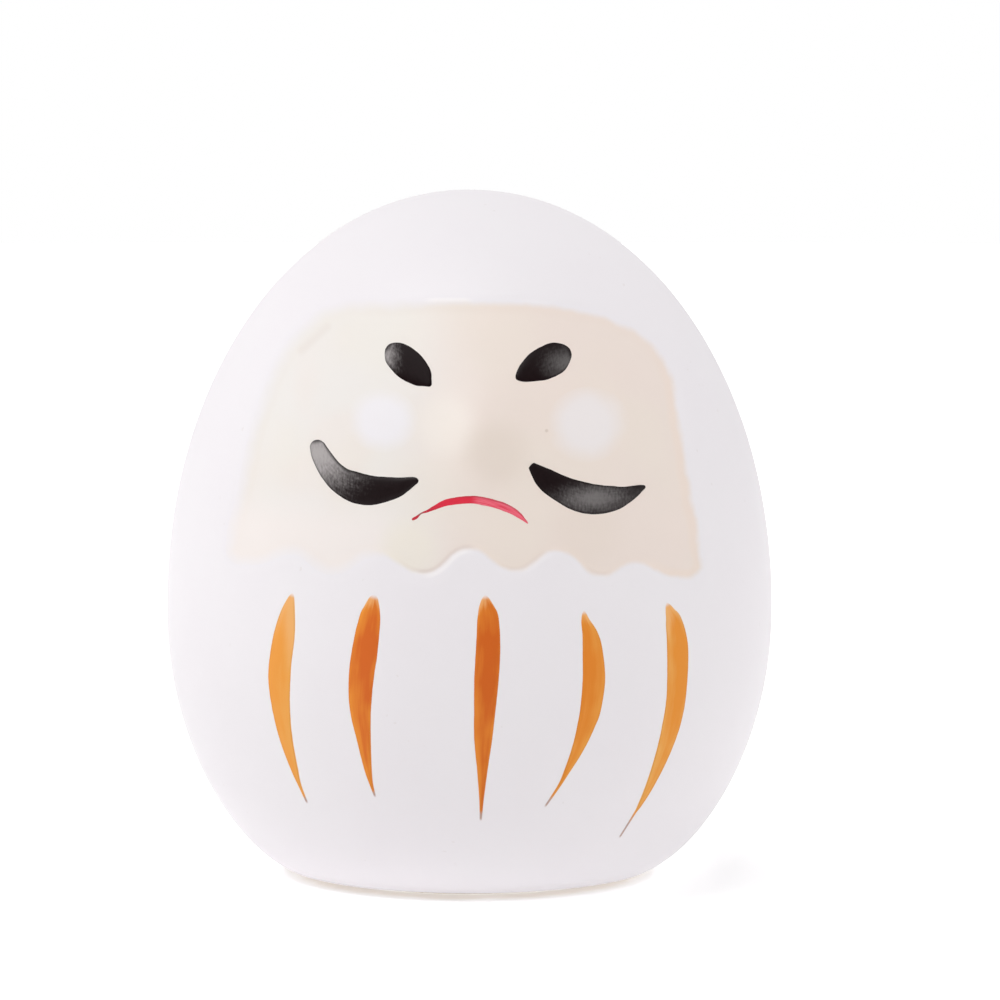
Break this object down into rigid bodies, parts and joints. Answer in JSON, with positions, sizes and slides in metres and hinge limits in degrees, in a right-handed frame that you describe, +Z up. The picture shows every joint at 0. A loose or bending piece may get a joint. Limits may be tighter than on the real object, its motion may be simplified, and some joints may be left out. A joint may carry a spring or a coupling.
{
  "type": "daruma doll",
  "caption": "Hollow egg-shaped papier-mache doll with a recessed painted face, blank eyes and brushed robe strokes, standing on a flat weighted foot.",
  "frame": {"origin": "middle of the underside of the foot, on the surface that the doll stands on", "axes": "+Z up through the crown, -Y out of the face, +X to the right of someone looking at the face"},
  "size_m": [0.0798, 0.0754, 0.09],
  "materials": {
    "robe_white": "satin white shell-lime coat over papier-mache",
    "face_cream": "matte cream paint, warmer towards its edge",
    "eye_white": "matte white paint with a soft edge",
    "ink_black": "glossy black ink with fine brush streaks",
    "lip_red": "satin red paint, thinner at the ends of the stroke",
    "stripe_orange": "satin orange paint, paler where the brush ran dry",
    "clay": "dry unfired clay, coated white on the outside edge",
    "raw_card": "rough grey-brown card",
    "raw_paper": "soft fibrous handmade paper"
  },
  "bodies": {
    "root": {"front_shell": "robe_white", "back_shell": "robe_white", "joining_band": "raw_card", "base_weight": "clay", "base_paper": "raw_paper", "face_panel": "face_cream", "left_eye": "eye_white", "right_eye": "eye_white", "left_eyebrow": "ink_black", "right_eyebrow": "ink_black", "left_moustache": "ink_black", "right_moustache": "ink_black", "mouth": "lip_red", "robe_stripe_1": "stripe_orange", "robe_stripe_2": "stripe_orange", "robe_stripe_3": "stripe_orange", "robe_stripe_4": "stripe_orange", "robe_stripe_5": "stripe_orange"}
  },
  "joints": []
}
